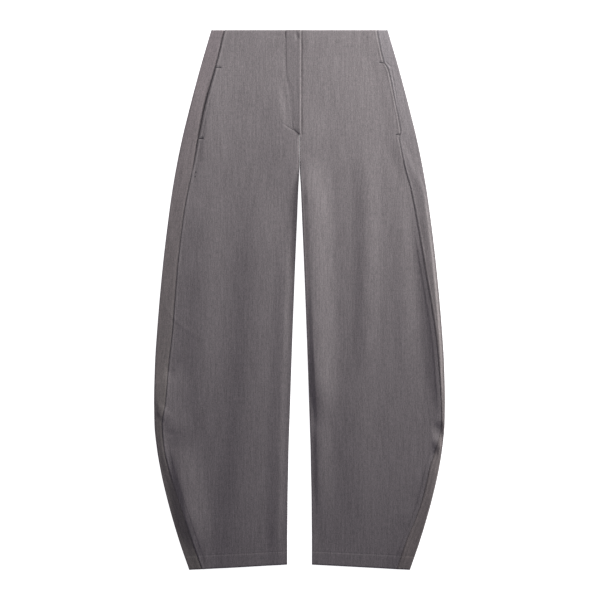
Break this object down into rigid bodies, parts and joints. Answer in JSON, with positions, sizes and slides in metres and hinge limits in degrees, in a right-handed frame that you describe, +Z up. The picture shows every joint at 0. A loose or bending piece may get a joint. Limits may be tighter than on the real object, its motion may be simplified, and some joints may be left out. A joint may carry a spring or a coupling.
{
  "type": "barrel leg trousers laid flat",
  "caption": "High-waisted trousers with bulging barrel legs, forward side seams with slit pockets and a covered fly, laid flat on their back.",
  "frame": {"origin": "middle of the trousers' footprint, on the surface that they lie on", "axes": "+X towards the wearer's left leg, +Y from the hems to the waist, +Z up from the surface, out of the front"},
  "size_m": [0.5552, 1.03, 0.0062],
  "materials": {
    "suiting_front": "grey melange wool-blend twill, matt with a faint lengthwise streak",
    "suiting_back": "the same twill, seen across its grain where it wraps to the front",
    "pocket_facing": "dark grey twill in the pocket's slit"
  },
  "bodies": {
    "root": {"front_right": "suiting_front", "front_left": "suiting_front", "back_right": "suiting_back", "back_left": "suiting_back", "fly_placket": "suiting_front", "pocket_facing_right": "pocket_facing", "pocket_facing_left": "pocket_facing"}
  },
  "joints": []
}
